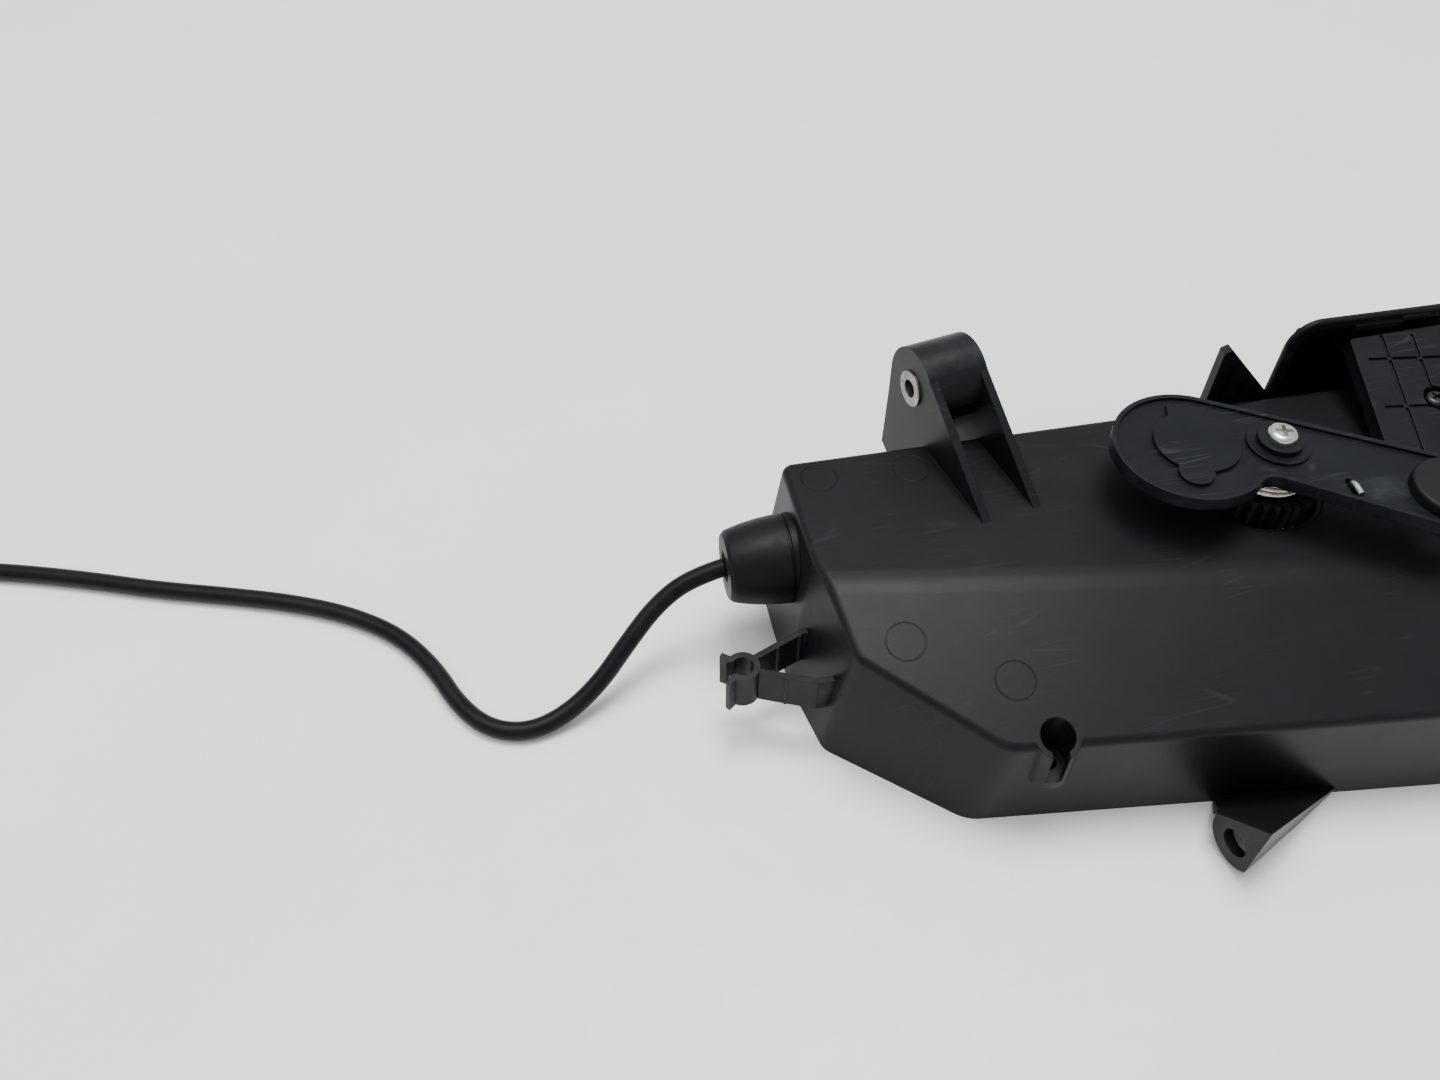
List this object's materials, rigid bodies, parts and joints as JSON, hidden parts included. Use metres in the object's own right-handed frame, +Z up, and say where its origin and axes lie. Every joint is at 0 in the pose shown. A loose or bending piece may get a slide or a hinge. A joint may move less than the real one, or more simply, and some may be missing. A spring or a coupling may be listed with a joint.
{
  "type": "linear actuator",
  "caption": "Motor, lead screw and rack in a tapered moulded housing that swing a counterweighted lever; cable gland, clip, mounting ears and open rear frame.",
  "frame": {"origin": "foot of the lever pivot's axis, on the underside of the base plate", "axes": "+X along the straight back wall, away from the cable gland; +Y towards the rear frame; +Z up along the lever pivot"},
  "size_m": [0.5751, 0.1903, 0.0738],
  "materials": {
    "housing_plastic": "semi-gloss moulded, scuffed",
    "frame_plastic": "semi-gloss moulded",
    "panel_plastic": "satin moulded",
    "lever_plastic": "satin, scratched",
    "swivel_plastic": "satin",
    "pinion_plastic": "satin acetal",
    "clip_plastic": "satin",
    "dark_plastic": "matt",
    "gear_plastic": "natural acetal",
    "switch_plastic": "matt",
    "plunger_plastic": "satin",
    "terminal_plastic": "satin nylon",
    "plug_plastic": "satin",
    "gland_rubber": "soft matt",
    "cable_jacket": "smooth jacket, slight gloss",
    "insert_metal": "dull plated",
    "screw_steel": "plated",
    "black_screw": "black oxide",
    "ground_steel": "ground",
    "spring_steel": "bright drawn wire",
    "motor_steel": "zinc plated",
    "bronze": "sintered",
    "copper": "enamelled windings on steel laminations",
    "magnet": "ferrite",
    "board": "solder mask",
    "contact_metal": "plated"
  },
  "bodies": {
    "housing": {"main_cover": "housing_plastic", "base_plate": "housing_plastic", "base_screws": "screw_steel", "cable_gland": "gland_rubber", "gland_lock_ring": "dark_plastic", "cable_clip": "clip_plastic", "ear_insert": "insert_metal", "rear_frame": "frame_plastic", "frame_brace": "frame_plastic", "ribbed_panel": "panel_plastic", "panel_screws": "black_screw", "pivot_bushes": "bronze", "motor_can": "motor_steel", "motor_end_cap": "dark_plastic", "motor_magnets": "magnet", "motor_plate": "gear_plastic", "screw_plate": "gear_plastic", "motor_screws": "screw_steel", "screw_bushes": "bronze", "far_bearing_block": "gear_plastic", "guide_rod": "ground_steel", "limit_switch_left": "switch_plastic", "limit_switch_right": "switch_plastic", "control_board": "board", "board_parts": "dark_plastic", "board_terminal": "terminal_plastic", "board_screws": "screw_steel", "inner_cable": "cable_jacket", "cable": "cable_jacket", "cable_coil": "cable_jacket", "cable_tail": "cable_jacket", "plug_shell": "plug_plastic", "plug_pins": "contact_metal"},
    "lever": {"lever_arm": "lever_plastic", "torsion_spring": "spring_steel", "pinion": "pinion_plastic", "pivot_shaft": "ground_steel", "lever_screw": "screw_steel"},
    "link": {"end_swivel": "swivel_plastic"},
    "carriage_body": {"carriage": "gear_plastic", "lead_nut": "bronze", "guide_bush": "bronze", "rack": "gear_plastic", "rack_screws": "screw_steel"},
    "screw": {"lead_screw": "ground_steel", "screw_gear": "gear_plastic"},
    "rotor": {"motor_armature": "copper", "motor_shaft": "ground_steel", "motor_pinion": "bronze"},
    "plunger_left": {"switch_plunger_left": "plunger_plastic"},
    "plunger_right": {"switch_plunger_right": "plunger_plastic"}
  },
  "joints": [
    {"name": "lever_swing", "type": "hinge", "parent": "housing", "child": "lever", "pos_m": [0, 0, 0.06], "axis": [0, 0, 1], "range_deg": [-35, 40]},
    {"name": "carriage_slide", "type": "slide", "parent": "housing", "child": "carriage_body", "axis": [1, 0, 0], "range_m": [-0.009, 0.0102]},
    {"name": "screw_spin", "type": "hinge", "parent": "housing", "child": "screw", "pos_m": [0, -0.028, 0.022], "axis": [1, 0, 0], "range_deg": [-450, 395]},
    {"name": "motor_spin", "type": "hinge", "parent": "housing", "child": "rotor", "pos_m": [-0.08, -0.0072, 0.022], "axis": [1, 0, 0], "range_deg": [-1300, 1480]},
    {"name": "link_swivel", "type": "hinge", "parent": "lever", "child": "link", "pos_m": [0.036, -0.02616, 0.063], "axis": [0, 0, 1], "continuous": true},
    {"name": "left_switch_press", "type": "slide", "parent": "housing", "child": "plunger_left", "axis": [-1, 0, 0], "range_m": [0, 0.0012], "stiffness_N_per_m": 300, "springref_m": -0.002},
    {"name": "right_switch_press", "type": "slide", "parent": "housing", "child": "plunger_right", "axis": [1, 0, 0], "range_m": [0, 0.0012], "stiffness_N_per_m": 300, "springref_m": -0.002}
  ],
  "couplings": [
    {"joint": "carriage_slide", "follows": "lever_swing", "m_per_rad": 0.014},
    {"joint": "screw_spin", "follows": "lever_swing", "ratio": -10.996},
    {"joint": "motor_spin", "follows": "lever_swing", "ratio": 36.652}
  ]
}
